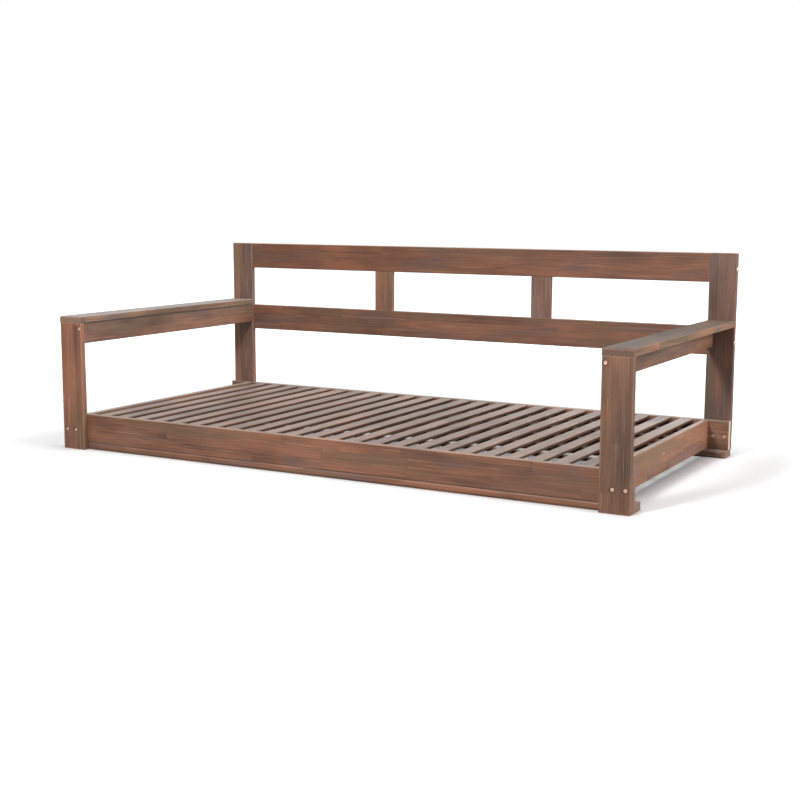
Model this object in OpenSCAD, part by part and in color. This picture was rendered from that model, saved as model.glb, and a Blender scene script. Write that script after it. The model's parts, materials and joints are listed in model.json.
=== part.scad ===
// Wooden porch swing daybed: a low slatted seat between two framed arms and a railed back.
// Millimetres. X runs along the seat, Y from the front to the back, Z up.
// The origin is on the ground, under the middle of the frame.

/* [Overall] */
// Width over the outer faces of the posts
overall_w = 2000; // [1500:10:2400]
// Depth over the outer faces of the posts
overall_d = 995; // [800:5:1200]
// Height of the back above the ground
overall_h = 664; // [580:1:800]
// Height of the arm's top face above the ground
arm_h = 446; // [380:1:460]

/* [Boards] */
// Thickness of the posts, rails, stiles and beam
board_t = 20; // [17:0.5:26]
// Width of the four posts
post_w = 90; // [75:1:110]
// Height of the seat's front, rear and side rails
rail_h = 95; // [80:1:120]
// Height of the two back rails
back_rail_h = 95; // [70:1:110]
// Width of the two back stiles
stile_w = 75; // [60:1:100]
// Height of the rail under each arm cap
arm_rail_h = 68; // [50:1:90]
// Width of the arm caps
cap_w = 90; // [75:1:110]
// Thickness of the arm caps
cap_t = 21; // [18:0.5:30]
// Width of the two ground bearers
bearer_w = 75; // [60:1:100]
// Thickness of the two ground bearers
bearer_t = 23; // [18:0.5:30]
// Radius of the boards' long edges
edge_r = 3; // [1:0.5:4]
// Radius of the arm caps' front top edge
nose_r = 7; // [2:0.5:10]
// Radius of the bearers' long edges
bearer_r = 7; // [2:0.5:8.5]
// Radius of the bearers' end corners, seen from above
bearer_end_r = 12; // [2:0.5:20]
// Step from the rear posts' front faces back to the back rails and stiles
back_inset = 4; // [0:0.5:5]

/* [Seat] */
// Width of one seat slat
slat_w = 42; // [30:1:50]
// Thickness of the seat slats
slat_t = 10; // [8:0.5:14]
// Step from the top of the rails down to the slats
slat_drop = 1; // [0:0.5:12]
// Height and width of the ledgers that carry the slats' ends
ledger_s = 20; // [16:0.5:26]
// Width of the battens under the slats
batten_w = 20; // [16:0.5:30]
// Height of the battens under the slats
batten_h = 10; // [8:0.5:16]
// Distance from one batten to the next, and from the beam to the first
batten_pitch = 150; // [100:5:160]
// Height of the beam under the middle of the seat
beam_h = 52; // [40:1:60]

/* [Fasteners] */
// Radius of the bolts' shanks
bolt_r = 3; // [2.5:0.25:4]
// Radius of the sunk bolt heads
bolt_head_r = 5.5; // [5:0.25:7]
// Depth of the sunk heads' counterbores
counterbore_depth = 6; // [5:0.5:7]
// Height of the lower bolts above the underside of their rail
bolt_h = 43; // [30:1:60]
// Distance from a post's outer side to its outer lower bolt
outer_bolt_inset = 15; // [12:0.5:20]
// Distance from a post's outer side to its inner lower bolt
inner_bolt_inset = 52; // [35:0.5:60]
// Distance from an arm rail's top edge to its bolts
arm_bolt_drop = 19; // [15:0.5:30]
// Radius of the domed heads on the posts' outer edges
dome_r = 8; // [6:0.5:9]
// Height of the domed heads
dome_h = 4; // [3:0.5:6]
// Depth that an end bolt reaches into a rail
end_bolt_reach = 50; // [40:1:70]
// Radius of the barrel nuts
barrel_r = 5; // [4:0.25:6]
// Radius of the screws' cores
screw_r = 2; // [1.5:0.1:2.5]
// Radius of the screws' countersunk heads
screw_head_r = 4; // [3.5:0.1:4.5]
// Radius of the dowels
dowel_r = 4; // [3:0.25:5]
// Length of the dowels
dowel_len = 24; // [20:1:28]

/* [Hidden] */
$fn = 48;
slat_count = 24;
battens_per_side = 2;
hex_sides = 6;
cut = 1;

// Clearances
shank_gap = 0.25;
head_gap = 2.5;
nut_gap = 0.1;
screw_gap = 0.1;
dowel_gap = 0.1;
dowel_end_gap = 0.5;

// Fastener sizes that follow from the driving ones
bolt_head_t = counterbore_depth - 2.5;
socket_r = bolt_head_r / 2;
socket_depth = bolt_head_t / 2;
nut_r = bolt_head_r - 0.25;
barrel_len = 8;
barrel_back = 35;
screw_head_t = 2.5;
screw_sink = 0.5;
screw_bite = 7;
ledger_screw_bite = 15;
frame_screw_len = 60;
frame_screw_inset = 25;
beam_screw_bite = 45;

// Planes that the boards share
half_w = overall_w / 2;
front_y = -overall_d / 2;
rear_y = overall_d / 2;
inner_x = half_w - post_w;
rail_z = bearer_t;
rail_top = rail_z + rail_h;
front_rail_y = front_y + board_t;
rear_rail_y = rear_y - 2 * board_t;
seat_front = front_rail_y + board_t;
seat_depth = rear_rail_y - seat_front;
slat_top = rail_top - slat_drop;
slat_z = slat_top - slat_t;
arm_z = arm_h - cap_t;
arm_front = front_y + board_t;
arm_back = rear_y - board_t;
arm_rail_z = arm_z - arm_rail_h;
rear_post_y = rear_y - board_t;
back_y = rear_post_y + back_inset;
back_t = board_t - back_inset;
top_rail_z = overall_h - back_rail_h;
mid_rail_z = arm_z - back_rail_h;
stile_h = top_rail_z - arm_z;
stile_pitch = (2 * inner_x + stile_w) / 3;

// Slats stand at equal gaps between the side rails
slat_gap = (2 * inner_x - slat_count * slat_w) / (slat_count + 1);
slat_pitch = slat_w + slat_gap;
function slat_x(i) = (i - (slat_count + 1) / 2) * slat_pitch;
function slat_name(i) = str("slat_", i < 10 ? "0" : "", i);
// Every third slat is screwed to the battens
function on_batten(i) = i % 3 == 2;

// Batten k of 1 to 4, counted from the front, leaves out the beam's place
function batten_y(k) = (k - (k > battens_per_side ? battens_per_side : battens_per_side + 1)) * batten_pitch;
batten_ids = [1:2 * battens_per_side];

// Fastener places
ledger_ys = [seat_front + ledger_s / 2, rear_rail_y - ledger_s / 2];
ledger_screw_xs = [for (k = [-8:4:8]) k * slat_pitch];
bearer_screw_xs = [for (k = [-5:2:5]) k * (half_w - 2 * post_w) / 5];
post_bolt_xs = [for (s = [-1, 1], inset = [outer_bolt_inset, inner_bolt_inset]) s * (half_w - inset)];
arm_dowel_ys = [arm_front + 120, 0, arm_back - 120];
stile_dowel_offset = stile_w / 4;
cap_dowel_x = half_w - 35;

// Stain colours
post_stain = [0.55, 0.39, 0.32];
rail_stain = [0.52, 0.37, 0.30];
seat_stain = [0.65, 0.57, 0.52];
cap_stain = [0.68, 0.61, 0.57];
hidden_stain = [0.42, 0.30, 0.24];
copper = [0.80, 0.64, 0.50];
zinc = [0.72, 0.72, 0.70];
raw_beech = [0.85, 0.72, 0.55];

// ---- shared shapes ----

// Rectangle with round corners, one corner at the origin
module round_rect(w, h, r) {
    translate([r, 0]) square([w - 2 * r, h]);
    translate([0, r]) square([w, h - 2 * r]);
    for (x = [r, w - r], y = [r, h - r])
        translate([x, y]) circle(r = r);
}

// An edge radius that the board's thin side can take
function fit_r(a, b) = min(edge_r, min(a, b) / 2 - 0.5);

// Board of the given size along one axis, its long edges rounded, one corner at the origin
module board(size, axis) {
    if (axis == "x")
        rotate([90, 0, 90])
            linear_extrude(size.x)
                round_rect(size.y, size.z, fit_r(size.y, size.z));
    if (axis == "y")
        translate([0, size.y, 0])
            rotate([90, 0, 0])
                linear_extrude(size.y)
                    round_rect(size.x, size.z, fit_r(size.x, size.z));
    if (axis == "z")
        linear_extrude(size.z)
            round_rect(size.x, size.y, fit_r(size.x, size.y));
}

// Puts a child that points along +Z at a place, pointing along +Y, -Y, +X, -X or +Z
module aim(pos, dir) {
    turn = dir == "+y" ? [-90, 0, 0]
         : dir == "-y" ? [90, 0, 0]
         : dir == "+x" ? [0, 90, 0]
         : dir == "-x" ? [0, -90, 0]
         : [0, 0, 0];
    translate(pos) rotate(turn) children();
}

// The child as it is and as its mirror image on the other side of the seat
module both_sides() {
    children();
    mirror([1, 0, 0]) children();
}

// ---- fasteners, each starting at the face that it enters ----

// Bolt with a sunk round head and a hex socket
module sunk_bolt(length) {
    difference() {
        union() {
            translate([0, 0, counterbore_depth - bolt_head_t])
                cylinder(r = bolt_head_r, h = bolt_head_t);
            translate([0, 0, counterbore_depth])
                cylinder(r = bolt_r, h = length - counterbore_depth);
        }
        translate([0, 0, counterbore_depth - bolt_head_t - cut])
            cylinder(r = socket_r, h = socket_depth + cut, $fn = hex_sides);
    }
}

module counterbore() {
    translate([0, 0, -cut])
        cylinder(r = bolt_head_r + head_gap, h = counterbore_depth + cut);
}

module shank_hole(length) {
    translate([0, 0, -cut])
        cylinder(r = bolt_r + shank_gap, h = length + cut);
}

// Hole for a sunk bolt that ends inside the wood
module end_bolt_hole() {
    counterbore();
    shank_hole(board_t + end_bolt_reach + dowel_end_gap);
}

// Hole for a bolt through two boards, with a recess at each end
module through_bolt_hole() {
    counterbore();
    shank_hole(2 * board_t + cut);
    translate([0, 0, 2 * board_t]) rotate([180, 0, 0]) counterbore();
}

module hex_nut() {
    difference() {
        cylinder(r = nut_r, h = bolt_head_t, $fn = hex_sides);
        translate([0, 0, -cut])
            cylinder(r = bolt_r + nut_gap, h = bolt_head_t + 2 * cut);
    }
}

// Domed bolt whose head stands on the face that it enters
module domed_bolt(length) {
    sphere_r = (dome_r * dome_r + dome_h * dome_h) / (2 * dome_h);
    rotate_extrude()
        intersection() {
            translate([0, sphere_r - dome_h]) circle(r = sphere_r);
            translate([0, -dome_h]) square([dome_r, dome_h]);
        }
    cylinder(r = bolt_r, h = length);
}

// Countersunk screw
module screw(length) {
    translate([0, 0, screw_sink]) {
        cylinder(r1 = screw_head_r, r2 = screw_r, h = screw_head_t);
        cylinder(r = screw_r, h = length - screw_sink);
    }
}

module screw_hole(length) {
    translate([0, 0, screw_sink])
        cylinder(r1 = screw_head_r + screw_gap, r2 = screw_r + screw_gap, h = screw_head_t);
    translate([0, 0, -cut])
        cylinder(r = screw_head_r + screw_gap, h = screw_sink + cut);
    translate([0, 0, -cut])
        cylinder(r = screw_r + screw_gap, h = length + cut + screw_gap);
}

module dowel() {
    translate([0, 0, -dowel_len / 2]) cylinder(r = dowel_r, h = dowel_len);
}

module dowel_hole() {
    translate([0, 0, -dowel_len / 2 - dowel_end_gap])
        cylinder(r = dowel_r + dowel_gap, h = dowel_len + 2 * dowel_end_gap);
}

// ---- where each kind of fastener sits ----

// Lower bolts through the front posts and rail, and through the rear rail and posts
module at_post_bolts() {
    for (x = post_bolt_xs, y = [front_y, rear_rail_y])
        aim([x, y, rail_z + bolt_h], "+y") children();
}

// Bolts through the posts into the ends of the arm rails
module at_arm_bolts() {
    both_sides() {
        aim([inner_x + board_t / 2, front_y, arm_z - arm_bolt_drop], "+y") children();
        aim([inner_x + board_t / 2, rear_y, arm_z - arm_bolt_drop], "-y") children();
    }
}

// Long bolts through the rear posts' edges into the ends of the back rails
module at_back_bolts() {
    both_sides()
        for (z = [top_rail_z, mid_rail_z])
            aim([half_w, rear_post_y + board_t / 2, z + bolt_h], "-x") children();
}

// Barrel nuts that the long bolts screw into, entered from the rails' back faces
module at_barrel_nuts() {
    both_sides()
        for (z = [top_rail_z, mid_rail_z])
            aim([inner_x - barrel_back, rear_y, z + bolt_h], "-y") children();
}

// Screws through the side rails into the ends of the centre beam
module at_beam_screws() {
    both_sides()
        aim([inner_x + board_t, 0, slat_z - beam_h / 2], "-x") children();
}

// Screws up through one slat's ends of the ledgers
module at_ledger_slat_screws(i) {
    for (y = ledger_ys)
        aim([slat_x(i), y, slat_z - ledger_s], "+z") children();
}

// Screws up through the battens into one slat
module at_batten_slat_screws(i) {
    if (on_batten(i))
        for (k = batten_ids)
            aim([slat_x(i), batten_y(k), slat_z - batten_h], "+z") children();
}

// Screws through the ledgers into the front and rear rails
module at_ledger_rail_screws() {
    for (x = ledger_screw_xs) {
        aim([x, seat_front + ledger_s, slat_z - ledger_s / 2], "-y") children();
        aim([x, rear_rail_y - ledger_s, slat_z - ledger_s / 2], "+y") children();
    }
}

// Screws through the front and rear rails into the ends of the side rails
module at_side_rail_screws() {
    both_sides()
        for (z = [rail_z + frame_screw_inset, rail_top - frame_screw_inset]) {
            aim([inner_x + board_t / 2, front_rail_y, z], "+y") children();
            aim([inner_x + board_t / 2, rear_rail_y + board_t, z], "-y") children();
        }
}

// Screws up through the bearers into the rails and the rear posts
module at_bearer_screws() {
    for (x = bearer_screw_xs) {
        aim([x, front_rail_y + board_t / 2, 0], "+z") children();
        aim([x, rear_rail_y + board_t / 2, 0], "+z") children();
    }
    both_sides()
        aim([half_w - post_w / 2, rear_post_y + board_t / 2, 0], "+z") children();
}

// Dowels that hold the arm caps down on the arm rails and front posts
module at_cap_dowels() {
    both_sides() {
        for (y = arm_dowel_ys)
            aim([inner_x + board_t / 2, y, arm_z], "+z") children();
        aim([cap_dowel_x, front_y + board_t / 2, arm_z], "+z") children();
    }
}

// Dowels in both ends of the back stiles
module at_stile_dowels() {
    both_sides()
        for (side = [-1, 1], z = [arm_z, top_rail_z])
            aim([stile_pitch / 2 + side * stile_dowel_offset, back_y + back_t / 2, z], "+z") children();
}

// ---- sub-parts ----

// Seat slat i, counted from the left
module slat(i) {
    color(seat_stain)
        difference() {
            translate([slat_x(i) - slat_w / 2, seat_front, slat_z])
                board([slat_w, seat_depth, slat_t], "y");
            at_ledger_slat_screws(i) screw_hole(ledger_s + screw_bite);
            at_batten_slat_screws(i) screw_hole(batten_h + screw_bite);
        }
}

// Post with its outer side at half_w, mirrored for the left side
module front_post() {
    color(post_stain)
        difference() {
            translate([inner_x, front_y, 0])
                board([post_w, board_t, arm_z], "z");
            at_post_bolts() through_bolt_hole();
            at_arm_bolts() end_bolt_hole();
            at_cap_dowels() dowel_hole();
        }
}

module rear_post() {
    color(post_stain)
        difference() {
            translate([inner_x, rear_post_y, bearer_t])
                board([post_w, board_t, overall_h - bearer_t], "z");
            at_post_bolts() through_bolt_hole();
            at_arm_bolts() end_bolt_hole();
            at_back_bolts() shank_hole(post_w + cut);
            at_bearer_screws() screw_hole(frame_screw_len);
        }
}

// Arm cap, its front top edge rounded more than the rest
module arm_cap() {
    len = arm_back - front_y;
    color(cap_stain)
        difference() {
            translate([half_w - cap_w, front_y, arm_z])
                intersection() {
                    board([cap_w, len, cap_t], "y");
                    rotate([90, 0, 90]) linear_extrude(cap_w) {
                        translate([nose_r, 0]) square([len - nose_r, cap_t]);
                        square([2 * nose_r, cap_t - nose_r]);
                        translate([nose_r, cap_t - nose_r]) circle(r = nose_r);
                    }
                }
            at_cap_dowels() dowel_hole();
        }
}

module arm_rail() {
    color(rail_stain)
        difference() {
            translate([inner_x, arm_front, arm_rail_z])
                board([board_t, arm_back - arm_front, arm_rail_h], "y");
            at_arm_bolts() end_bolt_hole();
            at_cap_dowels() dowel_hole();
        }
}

module side_rail() {
    color(rail_stain)
        difference() {
            translate([inner_x, seat_front, rail_z])
                board([board_t, seat_depth, rail_h], "y");
            at_beam_screws() screw_hole(board_t + beam_screw_bite);
            at_side_rail_screws() screw_hole(frame_screw_len);
        }
}

// Front or rear seat rail, its front face at y
module cross_rail(y) {
    color(rail_stain)
        difference() {
            translate([-half_w, y, rail_z])
                board([overall_w, board_t, rail_h], "x");
            at_post_bolts() through_bolt_hole();
            at_side_rail_screws() screw_hole(frame_screw_len);
            at_ledger_rail_screws() screw_hole(ledger_s + ledger_screw_bite);
            at_bearer_screws() screw_hole(frame_screw_len);
        }
}

// Ground bearer, its front edge at y
module bearer(y) {
    color(post_stain)
        difference() {
            translate([-half_w, y, 0])
                intersection() {
                    rotate([90, 0, 90])
                        linear_extrude(overall_w)
                            round_rect(bearer_w, bearer_t, bearer_r);
                    linear_extrude(bearer_t)
                        round_rect(overall_w, bearer_w, bearer_end_r);
                }
            at_bearer_screws() screw_hole(frame_screw_len);
        }
}

// Back rail between the rear posts, its underside at z
module back_rail(z) {
    color(rail_stain)
        difference() {
            translate([-inner_x, back_y, z])
                board([2 * inner_x, back_t, back_rail_h], "x");
            at_back_bolts() shank_hole(post_w + end_bolt_reach + dowel_end_gap);
            at_barrel_nuts() barrel_hole();
            at_stile_dowels() dowel_hole();
        }
}

module back_stile() {
    color(rail_stain)
        difference() {
            translate([(stile_pitch - stile_w) / 2, back_y, arm_z])
                board([stile_w, back_t, stile_h], "z");
            at_stile_dowels() dowel_hole();
        }
}

// Ledger under the slats' ends, its front face at y
module ledger(y) {
    color(hidden_stain)
        difference() {
            translate([-inner_x, y, slat_z - ledger_s])
                board([2 * inner_x, ledger_s, ledger_s], "x");
            at_ledger_rail_screws() screw_hole(ledger_s + ledger_screw_bite);
            for (i = [1:slat_count])
                at_ledger_slat_screws(i) screw_hole(ledger_s + screw_bite);
        }
}

module centre_beam() {
    color(hidden_stain)
        difference() {
            translate([-inner_x, -board_t / 2, slat_z - beam_h])
                board([2 * inner_x, board_t, beam_h], "x");
            at_beam_screws() screw_hole(board_t + beam_screw_bite);
        }
}

module slat_batten(k) {
    color(hidden_stain)
        difference() {
            translate([-inner_x, batten_y(k) - batten_w / 2, slat_z - batten_h])
                board([2 * inner_x, batten_w, batten_h], "x");
            for (i = [1:slat_count])
                at_batten_slat_screws(i) screw_hole(batten_h + screw_bite);
        }
}

module post_bolts() {
    color(copper)
        at_post_bolts() sunk_bolt(2 * board_t - counterbore_depth + bolt_head_t);
}

module post_nuts() {
    color(zinc)
        at_post_bolts()
            translate([0, 0, 2 * board_t - counterbore_depth]) hex_nut();
}

module arm_bolts() {
    color(copper)
        at_arm_bolts() sunk_bolt(board_t + end_bolt_reach);
}

module back_rail_bolts() {
    color(copper)
        at_back_bolts() domed_bolt(post_w + end_bolt_reach);
}

// Pocket for a barrel nut, open at the rail's back face
module barrel_hole() {
    translate([0, 0, -cut])
        cylinder(r = barrel_r + shank_gap, h = (board_t + barrel_len) / 2 + cut);
}

module barrel_nuts() {
    color(zinc)
        difference() {
            at_barrel_nuts()
                translate([0, 0, (board_t - barrel_len) / 2])
                    cylinder(r = barrel_r, h = barrel_len);
            at_back_bolts()
                cylinder(r = bolt_r + nut_gap, h = post_w + end_bolt_reach + cut);
        }
}

module beam_screws() {
    color(copper)
        at_beam_screws() screw(board_t + beam_screw_bite);
}

module seat_screws() {
    color(zinc) {
        for (i = [1:slat_count]) {
            at_ledger_slat_screws(i) screw(ledger_s + screw_bite);
            at_batten_slat_screws(i) screw(batten_h + screw_bite);
        }
        at_ledger_rail_screws() screw(ledger_s + ledger_screw_bite);
    }
}

module frame_screws() {
    color(zinc) {
        at_side_rail_screws() screw(frame_screw_len);
        at_bearer_screws() screw(frame_screw_len);
    }
}

module dowels() {
    color(raw_beech) {
        at_cap_dowels() dowel();
        at_stile_dowels() dowel();
    }
}

for (i = [1:slat_count])
    slat(i);
mirror([1, 0, 0]) front_post();  // front_left_post
front_post();  // front_right_post
mirror([1, 0, 0]) rear_post();  // rear_left_post
rear_post();  // rear_right_post
mirror([1, 0, 0]) arm_cap();  // left_arm_cap
arm_cap();  // right_arm_cap
mirror([1, 0, 0]) arm_rail();  // left_arm_rail
arm_rail();  // right_arm_rail
mirror([1, 0, 0]) side_rail();  // left_side_rail
side_rail();  // right_side_rail
cross_rail(front_rail_y);  // front_rail
cross_rail(rear_rail_y);  // rear_rail
bearer(front_rail_y);  // front_bearer
bearer(rear_y - bearer_w);  // rear_bearer
back_rail(top_rail_z);  // top_back_rail
back_rail(mid_rail_z);  // mid_back_rail
mirror([1, 0, 0]) back_stile();  // left_back_stile
back_stile();  // right_back_stile
ledger(seat_front);  // front_ledger
ledger(rear_rail_y - ledger_s);  // rear_ledger
centre_beam();
for (k = batten_ids)
    slat_batten(k);
post_bolts();
post_nuts();
arm_bolts();
back_rail_bolts();
barrel_nuts();
beam_screws();
seat_screws();
frame_screws();
dowels();
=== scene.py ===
"""Porch swing daybed in stained, finger-jointed hardwood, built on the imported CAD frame."""
import json
import math

import bpy
from mathutils import Matrix, Vector


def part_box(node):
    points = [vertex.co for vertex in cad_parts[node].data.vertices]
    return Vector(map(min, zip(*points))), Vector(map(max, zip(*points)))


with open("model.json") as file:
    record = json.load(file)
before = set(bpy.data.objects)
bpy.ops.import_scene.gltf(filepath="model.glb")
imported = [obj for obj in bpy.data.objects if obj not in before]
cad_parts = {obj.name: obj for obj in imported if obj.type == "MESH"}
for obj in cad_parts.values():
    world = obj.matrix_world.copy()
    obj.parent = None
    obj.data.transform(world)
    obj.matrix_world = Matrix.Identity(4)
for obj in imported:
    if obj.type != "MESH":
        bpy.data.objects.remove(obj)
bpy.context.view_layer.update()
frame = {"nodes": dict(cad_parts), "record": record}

# ---- view: degrees, metres and millimetres of lens ----
CAM_AZIMUTH = 29.12
CAM_ELEVATION = 8.49
CAM_ROLL = 0.16
CAM_DISTANCE = 4.389
CAM_TARGET = Vector((0.023, 0.0, 0.175))
CAM_LENS = 59.5
CAM_SENSOR = 36.0
CAM_FAR = 60.0

# ---- stain colours, linear ----
WARM = (0.345, 0.146, 0.080)
DEEP = (0.105, 0.048, 0.028)
MAUVE = (0.190, 0.108, 0.090)
OLIVE = (0.205, 0.118, 0.062)
THREAD = (0.480, 0.240, 0.140)
WORN = (0.50, 0.32, 0.22)
# painted shade: the dark strip along an arm rail's top, where its cap overhangs it
PAINTED_SEAM_SHADE = (0.030, 0.018, 0.012)
# painted sheen: the pale grey that faces looking up are mixed towards
PAINTED_SHEEN = (1.0, 0.90, 0.83)
END_STAINED = (0.27, 0.16, 0.11)
END_SHADED = (0.185, 0.112, 0.078)
END_RAW = (0.80, 0.56, 0.42)

# ---- metal and dowel colours, linear ----
COPPER = (0.86, 0.60, 0.44)
ZINC = (0.62, 0.62, 0.60)
BRASS = (1.0, 0.86, 0.66)
BEECH_DARK = (0.62, 0.42, 0.24)
BEECH_PALE = (0.74, 0.54, 0.34)

# ---- boards: sizes in metres ----
ROW_WIDTH = 0.034
BLOCK_LENGTH = 0.26
EDGE_R = 0.0035
# where that painted shade starts and fades out, measured down from a board's top
SEAM_SHADE_TOP, SEAM_SHADE_FOOT = 0.002, 0.006
SEED_STEP = 1.37

# blocks in a row: how much a row shortens them, how many blocks a row slides by, the glue
# lines as a share of a block or a row, how far apart blocks are cut, and what tells a row's
# dice from a block's
STRETCH_LEAST, STRETCH_RANGE = 0.65, 0.7
ROW_SLIDE = 9.0
BLOCK_GLUE, ROW_GLUE = 0.008, 0.035
ROW_GLUE_WEIGHT = 0.7
CUT_SPREAD = (31.0, 17.0, 23.0)
ROW_DICE = 0.37

# growth rings: where the heart lies, least and range in metres, and how wavy they are
HEART_ACROSS, HEART_ACROSS_RANGE = -0.08, 0.16
HEART_THROUGH, HEART_THROUGH_RANGE = 0.02, 0.05
HEART_SWAY = 0.030
RING_SWAY = 14.0
RINGS_PER_METRE = 800.0

# how fine a pattern is, per metre: along the grain, across the board and through it
SWAY = (3.0, 10.0, 10.0)
FLOW = (1.6, 42.0, 42.0)
STREAKS = (5.0, 150.0, 150.0)
THREADS = (4.5, 170.0, 170.0)
PORES = (75.0, 1500.0, 1500.0)
PATCHES = (3.2, 9.0, 9.0)
MAUVE_CLOUDS = (4.0, 16.0, 16.0)
OLIVE_CLOUDS = (3.0, 13.0, 13.0)

# from where to where a noise counts as a pore, a pale thread, or a spot of mauve or olive
PORE_RANGE = (0.60, 0.72)
THREAD_RANGE = (0.61, 0.71)
SPOT_RANGE = (0.0, 0.45)

# how strongly each pattern shows in the stain, how deep the stain is in the mean, and how
# much rings, pores and glue lines darken it
FLOW_WEIGHT, STREAK_WEIGHT, PATCH_WEIGHT, CLOUD_WEIGHT = 1.1, 1.05, 2.3, 2.2
MEAN_DEPTH = 0.38
MAUVE_MOST, OLIVE_MOST, THREAD_MOST = 0.75, 0.70, 0.45
RING_SHADE, PORE_SHADE = 0.16, 0.30
GLUE_SHADE_LEAST, GLUE_SHADE_RANGE = -0.06, 0.34

# relief and roughness
STREAK_HEIGHT, RING_HEIGHT, PORE_HEIGHT, GLUE_HEIGHT = 0.5, 0.15, 0.5, 0.9
WOOD_ROUGH, STREAK_ROUGH, PATCH_ROUGH, END_ROUGH = 0.36, 0.22, 0.12, 0.25
WOOD_BUMP = (0.35, 0.0006)
METAL_BUMP = (0.2, 0.0002)

# the part of a normal that counts as facing up or along the board; how patchy rubbed edges
# are; how pale the painted sheen makes a dark stain; and how rings mark the end grain
FACES_UP = (0.5, 0.95)
FACES_END = (0.75, 0.95)
RUB_RANGE = (0.25, 0.60)
RUB_LEAST = 0.35
SHEEN_LIFT = 0.10
END_RING_PALE, END_RING_SHADE = 1.1, 0.35

# how fine a pattern is, per metre, along x, y and z: rubbed edges, metal and dowels
RUB = (22.0, 22.0, 22.0)
METAL_MOTTLE = (900.0, 900.0, 900.0)
DOWEL_GRAIN = (900.0, 900.0, 60.0)

# ---- studio ----
# The floor bounces light as a darker grey than the camera sees, and the sky lights the frame
# with a quarter of what the camera and reflections see: a white ground, yet dark undersides.
FLOOR_BOUNCE = (0.32, 0.32, 0.32)
FLOOR_SEEN = (0.80, 0.80, 0.80)
FLOOR_SIZE = 24.0
FLOOR_GAP = 0.0005
FADE_START, FADE_END = 1.2, 3.6
SKY_FILL = 0.25


def camera():
    azimuth, elevation = math.radians(CAM_AZIMUTH), math.radians(CAM_ELEVATION)
    back = Vector((
        math.sin(azimuth) * math.cos(elevation),
        -math.cos(azimuth) * math.cos(elevation),
        math.sin(elevation),
    ))
    data = bpy.data.cameras.new("view")
    data.lens = CAM_LENS
    data.sensor_width = CAM_SENSOR
    data.clip_end = CAM_FAR
    cam = bpy.data.objects.new("view", data)
    turn = (-back).to_track_quat("-Z", "Y").to_matrix().to_4x4()
    roll = Matrix.Rotation(math.radians(CAM_ROLL), 4, "Z")
    cam.matrix_world = Matrix.Translation(CAM_TARGET + back * CAM_DISTANCE) @ turn @ roll
    bpy.context.scene.collection.objects.link(cam)
    bpy.context.scene.camera = cam


# ---- node helpers ----
class Graph:
    """Adds nodes to one node tree. A value is a number, a tuple or another node's output."""

    def __init__(self, tree):
        self.tree = tree

    def add(self, kind, **settings):
        made = self.tree.nodes.new(kind)
        for name, value in settings.items():
            setattr(made, name, value)
        return made

    def feed(self, socket, value):
        if isinstance(value, bpy.types.NodeSocket):
            self.tree.links.new(value, socket)
        elif value is not None:
            socket.default_value = value

    def math(self, op, a, b=None, c=None, clamp=False):
        made = self.add("ShaderNodeMath", operation=op, use_clamp=clamp)
        for socket, value in zip(made.inputs, (a, b, c)):
            self.feed(socket, value)
        return made.outputs[0]

    def vmath(self, op, a, b=None):
        made = self.add("ShaderNodeVectorMath", operation=op)
        self.feed(made.inputs[0], a)
        self.feed(made.inputs[1], b)
        return made.outputs["Value" if op == "LENGTH" else "Vector"]

    def split(self, vector):
        made = self.add("ShaderNodeSeparateXYZ")
        self.feed(made.inputs[0], vector)
        return made.outputs[0], made.outputs[1], made.outputs[2]

    def join(self, x, y, z):
        made = self.add("ShaderNodeCombineXYZ")
        for socket, value in zip(made.inputs, (x, y, z)):
            self.feed(socket, value)
        return made.outputs[0]

    def coords(self):
        return self.add("ShaderNodeTexCoord").outputs["Object"]

    def noise(self, vector, detail=3.0, rough=0.55, distort=0.0):
        made = self.add("ShaderNodeTexNoise")
        self.feed(made.inputs["Vector"], vector)
        made.inputs["Scale"].default_value = 1.0
        made.inputs["Detail"].default_value = detail
        made.inputs["Roughness"].default_value = rough
        made.inputs["Distortion"].default_value = distort
        return made.outputs["Fac"]

    def white(self, vector):
        made = self.add("ShaderNodeTexWhiteNoise", noise_dimensions="3D")
        self.feed(made.inputs["Vector"], vector)
        return made.outputs["Value"], made.outputs["Color"]

    def mix(self, fac, a, b, blend="MIX"):
        made = self.add("ShaderNodeMix", data_type="RGBA", blend_type=blend)
        self.feed(made.inputs["Factor"], fac)
        self.feed(made.inputs[6], rgba(a))
        self.feed(made.inputs[7], rgba(b))
        return made.outputs[2]

    def dim(self, colour, value):
        """Multiplies a colour by one value, a number or an output."""
        grey = (value,) * 3 if isinstance(value, float) else self.join(value, value, value)
        return self.mix(1.0, colour, grey, "MULTIPLY")

    def ramp(self, value, low, high, out_low=0.0, out_high=1.0):
        made = self.add("ShaderNodeMapRange", interpolation_type="SMOOTHSTEP")
        for socket, given in zip(made.inputs, (value, low, high, out_low, out_high)):
            self.feed(socket, given)
        return made.outputs[0]

    def centred(self, value, weight):
        """A random value of 0 to 1, moved to lie about 0 and weighted."""
        return self.math("MULTIPLY", self.math("SUBTRACT", value, 0.5), weight)

    def bump(self, shader, height, strength, distance):
        made = self.add("ShaderNodeBump")
        made.inputs["Strength"].default_value = strength
        made.inputs["Distance"].default_value = distance
        self.feed(made.inputs["Height"], height)
        self.feed(shader.inputs["Normal"], made.outputs[0])


def rgba(value):
    return (*value, 1.0) if isinstance(value, tuple) and len(value) == 3 else value


def shaded_material(name):
    """A new material, with the graph of its node tree and its shader."""
    mat = bpy.data.materials.new(name)
    mat.use_nodes = True
    return mat, Graph(mat.node_tree), mat.node_tree.nodes["Principled BSDF"]


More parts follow.
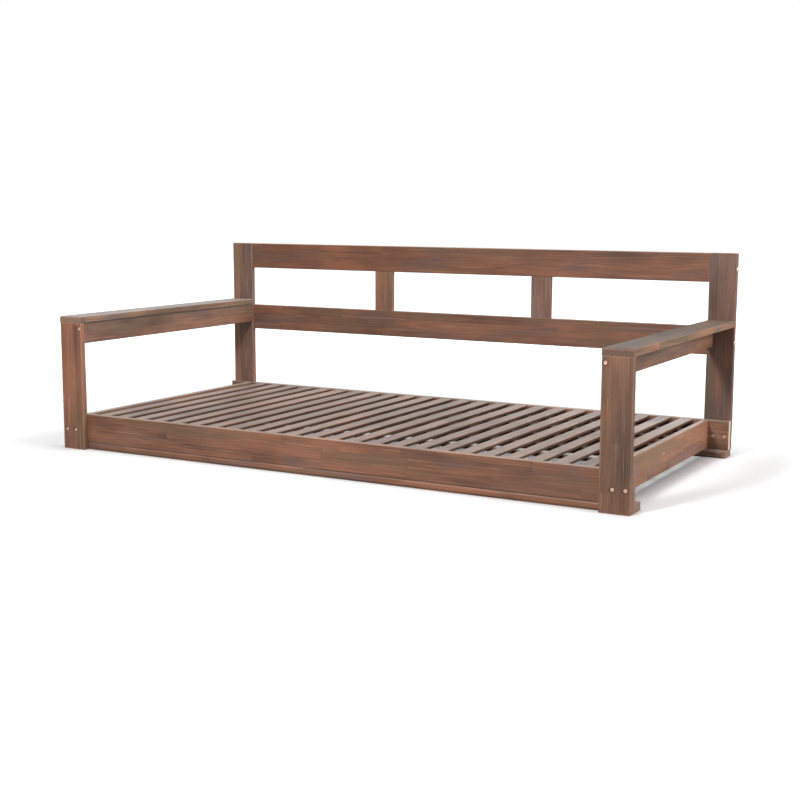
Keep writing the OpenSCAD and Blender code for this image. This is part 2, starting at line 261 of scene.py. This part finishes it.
# ---- wood ----
def lamellae(g, along, across, given):
    """Rows across the board, with blocks of random length along each row.

    Returns the row's random value, the block's random colour and the glue lines.
    """
    across_rows = g.math("ADD", g.math("DIVIDE", across, given["Row"]), 0.5)
    row = g.math("FLOOR", across_rows)
    row_random, _ = g.white(g.join(row, given["Seed"], ROW_DICE))
    stretch = g.math("MULTIPLY_ADD", row_random, STRETCH_RANGE, STRETCH_LEAST)
    blocks = g.math("MULTIPLY", g.math("DIVIDE", along, given["Block"]), stretch)
    along_blocks = g.math("ADD", blocks, g.math("MULTIPLY", row_random, ROW_SLIDE))
    block = g.math("FLOOR", along_blocks)
    _, dice = g.white(g.join(row, block, given["Seed"]))

    block_line = g.ramp(g.math("PINGPONG", along_blocks, 0.5), 0.0, BLOCK_GLUE, 1.0, 0.0)
    row_line = g.ramp(g.math("PINGPONG", across_rows, 0.5), 0.0, ROW_GLUE, 1.0, 0.0)
    line = g.math("MAXIMUM", block_line, g.math("MULTIPLY", row_line, ROW_GLUE_WEIGHT))
    return row_random, dice, line


def growth_rings(g, across, through, tone, hue, sway):
    """Rings about a heart that lies elsewhere for each block, from 0 to 1."""
    heart_w = g.math("MULTIPLY_ADD", tone, HEART_ACROSS_RANGE, HEART_ACROSS)
    heart_t = g.math("MULTIPLY_ADD", hue, HEART_THROUGH_RANGE, HEART_THROUGH)
    from_heart = g.join(g.math("ADD", across, heart_w), g.math("ADD", through, heart_t),
                        g.math("MULTIPLY", sway, HEART_SWAY))
    radius = g.vmath("LENGTH", from_heart)
    wave = g.math("MULTIPLY", sway, RING_SWAY)
    ring = g.math("SINE", g.math("MULTIPLY_ADD", radius, RINGS_PER_METRE, wave))
    return g.math("MULTIPLY_ADD", ring, 0.5, 0.5)


def wood_group():
    """Finger-jointed wood as a node group that all boards share.

    Place is metres along the grain, across the board and through it. Seed tells boards apart.
    Row and Block are the width of a lamella row and the usual length of a block. RowTone and
    BlockTone say how much rows and blocks differ in tone.
    """
    tree = bpy.data.node_groups.new("finger_jointed_wood", "ShaderNodeTree")
    face = tree.interface
    face.new_socket("Place", in_out="INPUT", socket_type="NodeSocketVector")
    for name in ("Seed", "Row", "Block", "RowTone", "BlockTone"):
        face.new_socket(name, in_out="INPUT", socket_type="NodeSocketFloat")
    face.new_socket("Color", in_out="OUTPUT", socket_type="NodeSocketColor")
    for name in ("Height", "Rough", "Ring"):
        face.new_socket(name, in_out="OUTPUT", socket_type="NodeSocketFloat")
    g = Graph(tree)
    given = g.add("NodeGroupInput").outputs
    place, seed = given["Place"], given["Seed"]
    row_tone, block_tone = given["RowTone"], given["BlockTone"]
    along, across, through = g.split(place)
    row_random, dice, line = lamellae(g, along, across, given)
    tone, hue, shift = g.split(dice)

    # each block is cut from its own place in a tree, and the stain clouds run over the joints
    own_place = g.vmath("MULTIPLY", dice, CUT_SPREAD)

    def scaled(fineness, start):
        return g.vmath("ADD", g.vmath("MULTIPLY", place, fineness), start)

    sway = g.noise(scaled(SWAY, own_place), 2.0)
    ring = growth_rings(g, across, through, tone, hue, sway)
    streak = g.noise(scaled(STREAKS, own_place), 5.0, 0.62)
    flow = g.noise(scaled(FLOW, own_place), 3.0, 0.55, 0.4)
    pore = g.ramp(g.noise(scaled(PORES, own_place), 1.0), *PORE_RANGE)
    thread = g.ramp(g.noise(scaled(THREADS, own_place), 1.0), *THREAD_RANGE)
    board_start = g.join(seed, g.math("MULTIPLY", seed, 3.7), 1.0)
    patch = g.noise(scaled(PATCHES, board_start), 2.0)
    mauve_cloud = g.noise(scaled(MAUVE_CLOUDS, g.join(5.0, seed, 2.0)), 2.0)
    olive_cloud = g.noise(scaled(OLIVE_CLOUDS, g.join(seed, 8.0, 4.0)), 2.0)

    # stain: warm to deep by block and streak, some places mauve or olive, fine pale threads
    depth = g.math("ADD", g.centred(tone, block_tone), g.centred(row_random, row_tone))
    depth = g.math("ADD", depth, g.centred(flow, FLOW_WEIGHT))
    depth = g.math("ADD", depth, g.centred(streak, STREAK_WEIGHT))
    patch_depth = g.math("ADD", g.centred(patch, PATCH_WEIGHT), MEAN_DEPTH)
    depth = g.math("ADD", depth, patch_depth, clamp=True)
    colour = g.mix(depth, WARM, DEEP)
    for dab, cloud, most, stain in ((hue, mauve_cloud, MAUVE_MOST, MAUVE),
                                    (shift, olive_cloud, OLIVE_MOST, OLIVE)):
        spot = g.math("ADD", g.centred(dab, block_tone), g.centred(cloud, CLOUD_WEIGHT))
        colour = g.mix(g.math("MULTIPLY", g.ramp(spot, *SPOT_RANGE), most), colour, stain)
    colour = g.mix(g.math("MULTIPLY", thread, THREAD_MOST), colour, THREAD)

    # rings, pores and glue lines darken it
    dark = g.math("MULTIPLY_ADD", ring, -RING_SHADE, 1.0)
    dark = g.math("MULTIPLY", dark, g.math("MULTIPLY_ADD", pore, -PORE_SHADE, 1.0))
    glue_shade = g.math("MULTIPLY_ADD", shift, -GLUE_SHADE_RANGE, -GLUE_SHADE_LEAST)
    dark = g.math("MULTIPLY", dark, g.math("MULTIPLY_ADD", line, glue_shade, 1.0))
    colour = g.dim(colour, dark)

    height = g.math("MULTIPLY_ADD", streak, STREAK_HEIGHT, g.math("MULTIPLY", ring, RING_HEIGHT))
    height = g.math("SUBTRACT", height, g.math("MULTIPLY", pore, PORE_HEIGHT))
    height = g.math("SUBTRACT", height, g.math("MULTIPLY", line, GLUE_HEIGHT))
    rough = g.math("MULTIPLY_ADD", streak, STREAK_ROUGH, WOOD_ROUGH)
    rough = g.math("MULTIPLY_ADD", patch, PATCH_ROUGH, rough)
    out = g.add("NodeGroupOutput")
    for name, value in (("Color", colour), ("Height", height), ("Rough", rough), ("Ring", ring)):
        g.feed(out.inputs[name], value)
    return tree


def wood(node, grain_group, seed, tint=(1.0, 1.0, 1.0), row_tone=0.2, block_tone=0.45,
         grey=0.5, top=1.0, flank=1.0, dull=0.0, seam_shade=0.0, end=END_STAINED, wear=0.6):
    """Material for one board: grain along its longest side, lamellae across its middle one.

    tint multiplies the stain, and row_tone and block_tone go to the wood group. Faces that
    look up get a painted sheen, greyed by grey and dimmed by top, and the others are dimmed by
    flank: painted light and shade by which way a face looks. dull adds roughness, the seam shade
    is painted shade along the upper edge, under an overhanging arm cap, end colours the end
    grain, and wear is how much of the stain is rubbed off the edges.
    """
    low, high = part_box(node)
    centre, size = (low + high) / 2, high - low
    thin, wide, long = sorted(range(3), key=lambda k: size[k])
    mat, g, shader = shaded_material(f"wood_{node}")

    spot = g.vmath("SUBTRACT", g.coords(), tuple(centre))
    axes = g.split(spot)
    place = g.join(axes[long], axes[wide], axes[thin])
    grain = g.add("ShaderNodeGroup")
    grain.node_tree = grain_group
    rows = max(1, round(size[wide] / ROW_WIDTH))
    row_width = size[wide] / rows
    row_shift = 0.0 if rows % 2 else 0.5 * row_width
    g.feed(grain.inputs["Place"], g.vmath("ADD", place, (0.0, row_shift, 0.0)))
    for name, value in (("Seed", seed), ("Row", row_width), ("Block", BLOCK_LENGTH),
                        ("RowTone", row_tone), ("BlockTone", block_tone)):
        grain.inputs[name].default_value = value

    # how near a point is to the board's faces, one value for each direction
    def near(axis):
        gap = g.math("SUBTRACT", size[axis] / 2, g.math("ABSOLUTE", axes[axis]))
        return g.ramp(gap, 0.0, EDGE_R, 1.0, 0.0)

    near_l, near_w, near_t = near(long), near(wide), near(thin)
    edge = g.math("MAXIMUM", g.math("MINIMUM", near_w, near_t),
                  g.math("MINIMUM", near_l, g.math("MAXIMUM", near_w, near_t)))
    rub = g.noise(g.vmath("MULTIPLY", spot, RUB), 3.0)
    edge = g.math("MULTIPLY", edge, g.ramp(rub, *RUB_RANGE, RUB_LEAST, 1.0))
    normal = g.split(g.add("ShaderNodeNewGeometry").outputs["Normal"])
    end_face = g.ramp(g.math("ABSOLUTE", normal[long]), *FACES_END)

    colour = g.mix(1.0, grain.outputs["Color"], tint, "MULTIPLY")
    # painted sheen and shade: faces that look up are greyed towards a pale sheen and dimmed by
    # top, and the other faces are dimmed by flank
    value = g.add("ShaderNodeRGBToBW")
    g.feed(value.inputs[0], colour)
    sheen_pale = g.dim(PAINTED_SHEEN, g.math("ADD", value.outputs[0], SHEEN_LIFT))
    painted_top_sheen = g.dim(g.mix(grey, colour, sheen_pale), top)
    colour = g.mix(g.ramp(normal[2], *FACES_UP), g.dim(colour, flank), painted_top_sheen)
    colour = g.mix(g.math("MULTIPLY", edge, wear), colour, WORN)
    # painted shade: a dark strip along the board's top edge, under the arm cap that overhangs it
    if seam_shade:
        from_top = g.math("SUBTRACT", size[2] / 2, axes[2])
        colour = g.mix(g.ramp(from_top, SEAM_SHADE_TOP, SEAM_SHADE_FOOT, seam_shade, 0.0), colour, PAINTED_SEAM_SHADE)
    rings = g.math("MULTIPLY_ADD", grain.outputs["Ring"], -END_RING_SHADE, END_RING_PALE)
    colour = g.mix(end_face, colour, g.dim(end, rings))
    g.feed(shader.inputs["Base Color"], colour)
    rough = g.math("MULTIPLY_ADD", end_face, END_ROUGH, grain.outputs["Rough"])
    g.feed(shader.inputs["Roughness"], g.math("ADD", rough, dull))
    g.bump(shader, grain.outputs["Height"], *WOOD_BUMP)
    return mat


def dress(node, mat):
    obj = frame["nodes"][node]
    obj.data.materials.clear()
    obj.data.materials.append(mat)


def boards():
    """Dresses every board in its slot's look, changed where the photo shows it brighter or
    darker: partly its own tone, partly painted light and shade.
    """
    group = wood_group()
    seeds = iter(range(1, 100))
    looks = {
        "post_wood": dict(row_tone=0.45, block_tone=0.12, wear=0.4),
        "rail_wood": dict(tint=(0.90, 0.90, 0.92), block_tone=0.38, wear=0.3),
        "cap_wood": dict(grey=0.6, wear=0.2),
        # painted shade: the slats' sides, down in the gaps, are dimmed to half by flank; their
        # tops get painted sheen, dimmed by top
        "seat_wood": dict(tint=(1.0, 0.98, 0.95), grey=0.6, top=0.78, flank=0.5, wear=0.2),
        # painted shade: the pieces under the slats are darkened to near black, as they lie in
        # shade under the seat
        "under_wood": dict(tint=(0.3, 0.3, 0.3), grey=0.0, top=0.5, dull=0.3, wear=0.0),
    }
    # grey, top and flank below paint sheen and shade by which way a face looks: right_arm_cap's
    # dim top is painted shade, and rear_right_post's dark tint is partly its own tone, partly
    # painted shade, as under its arm cap
    special = {
        "front_bearer": dict(tint=(0.98, 0.96, 0.96)),
        "rear_bearer": dict(tint=(1.05, 1.05, 1.05)),
        "rear_rail": dict(tint=(1.0, 1.15, 1.25), end=END_RAW, grey=0.8),
        "left_side_rail": dict(grey=0.9),
        "right_side_rail": dict(tint=(1.22, 1.30, 1.36)),
        "left_arm_rail": dict(tint=(0.78, 0.85, 0.95), wear=0.1, seam_shade=0.9),
        "right_arm_rail": dict(tint=(0.83, 0.88, 0.90), wear=0.1, seam_shade=0.9),
        "left_arm_cap": dict(tint=(0.75, 0.95, 1.05), grey=0.8),
        "right_arm_cap": dict(tint=(1.10, 1.30, 1.35), grey=0.1, top=0.28, dull=0.3,
                              end=END_SHADED),
        "right_back_stile": dict(tint=(0.90, 1.02, 1.15), wear=0.2),
        "top_back_rail": dict(tint=(0.73, 0.64, 0.57), block_tone=0.2),
        "mid_back_rail": dict(tint=(0.76, 0.74, 0.74)),
        "front_rail": dict(tint=(0.88, 0.86, 0.86)),
        "front_right_post": dict(tint=(0.88, 0.95, 0.99)),
        "rear_left_post": dict(tint=(0.92, 1.02, 1.15), row_tone=0.9, wear=0.5),
        "rear_right_post": dict(tint=(0.64, 0.72, 0.86), row_tone=0.7, wear=0.1),
    }
    for part in frame["record"]["subparts"]:
        look = looks.get(part["material_slot"])
        if look:
            node = part["node"]
            settings = {**look, **special.get(node, {})}
            dress(node, wood(node, group, next(seeds) * SEED_STEP, **settings))


# ---- fasteners ----
def metal(name, colour, rough, speck):
    """Plated metal: a mottled tone, down to speck times the colour, with a slight relief."""
    mat, g, shader = shaded_material(name)
    mottle = g.noise(g.vmath("MULTIPLY", g.coords(), METAL_MOTTLE), 4.0)
    darker = tuple(c * speck for c in colour)
    g.feed(shader.inputs["Base Color"], g.mix(g.ramp(mottle, 0.35, 0.7), colour, darker))
    g.feed(shader.inputs["Roughness"], g.math("MULTIPLY_ADD", mottle, 0.3, rough))
    shader.inputs["Metallic"].default_value = 0.6
    g.bump(shader, mottle, *METAL_BUMP)
    return mat


def beech():
    mat, g, shader = shaded_material("dowel_beech")
    grain = g.noise(g.vmath("MULTIPLY", g.coords(), DOWEL_GRAIN), 4.0)
    g.feed(shader.inputs["Base Color"], g.mix(grain, BEECH_DARK, BEECH_PALE))
    return mat


def fasteners():
    copper = metal("copper_heads", COPPER, 0.35, 0.75)
    zinc = metal("zinc_plate", ZINC, 0.30, 0.8)
    for node in ("post_bolts", "arm_bolts", "back_rail_bolts"):
        dress(node, copper)
    dress("beam_screws", metal("brass_screws", BRASS, 0.45, 0.9))
    for node in ("post_nuts", "barrel_nuts", "seat_screws", "frame_screws"):
        dress(node, zinc)
    dress("dowels", beech())


# ---- studio ----
def stage():
    bpy.ops.mesh.primitive_plane_add(size=FLOOR_SIZE, location=(0.0, 0.0, -FLOOR_GAP))
    floor = bpy.context.object
    floor.name = "floor"
    mat, g, shader = shaded_material("pale_floor")
    seen = g.add("ShaderNodeLightPath").outputs["Is Camera Ray"]
    g.feed(shader.inputs["Base Color"], g.mix(seen, FLOOR_BOUNCE, FLOOR_SEEN))
    # to the camera, the floor fades into the white backdrop away from the lamps
    reach = g.vmath("LENGTH", g.coords())
    fade = g.ramp(reach, FADE_START, FADE_END)
    shader.inputs["Emission Color"].default_value = (1.0, 1.0, 1.0, 1.0)
    g.feed(shader.inputs["Emission Strength"], g.math("MULTIPLY", seen, fade))
    shader.inputs["Roughness"].default_value = 0.9
    floor.data.materials.append(mat)


def area(name, place, aim, size, watts):
    data = bpy.data.lights.new(name, "AREA")
    data.shape = "RECTANGLE"
    data.size, data.size_y = size
    data.energy = watts
    lamp = bpy.data.objects.new(name, data)
    lamp.location = place
    lamp.rotation_euler = (Vector(aim) - Vector(place)).to_track_quat("-Z", "Y").to_euler()
    bpy.context.scene.collection.objects.link(lamp)


def sky():
    world = bpy.data.worlds.new("studio")
    world.use_nodes = True
    g = Graph(world.node_tree)
    dome = world.node_tree.nodes["Background"]
    dome.inputs["Color"].default_value = (1.0, 1.0, 1.0, 1.0)
    path = g.add("ShaderNodeLightPath").outputs
    bright = g.math("MAXIMUM", path["Is Camera Ray"], path["Is Glossy Ray"])
    g.feed(dome.inputs["Strength"], g.math("MULTIPLY_ADD", bright, 1.0 - SKY_FILL, SKY_FILL))
    bpy.context.scene.world = world


def lights():
    sky()
    area("key", place=(0.1, -2.8, 2.0), aim=(0.0, 0.0, 0.3), size=(0.45, 0.45), watts=75.0)
    area("top", place=(0.0, 0.2, 3.4), aim=(0.0, 0.2, 0.0), size=(3.0, 2.0), watts=105.0)
    area("side", place=(7.0, 0.2, 2.2), aim=(0.5, 0.0, 0.2), size=(3.0, 2.5), watts=300.0)
    area("back", place=(0.6, 6.0, 2.8), aim=(0.0, 0.3, 0.3), size=(2.5, 2.0), watts=110.0)
    bpy.context.scene.view_settings.view_transform = "Standard"


camera()
stage()
lights()
boards()
fasteners()
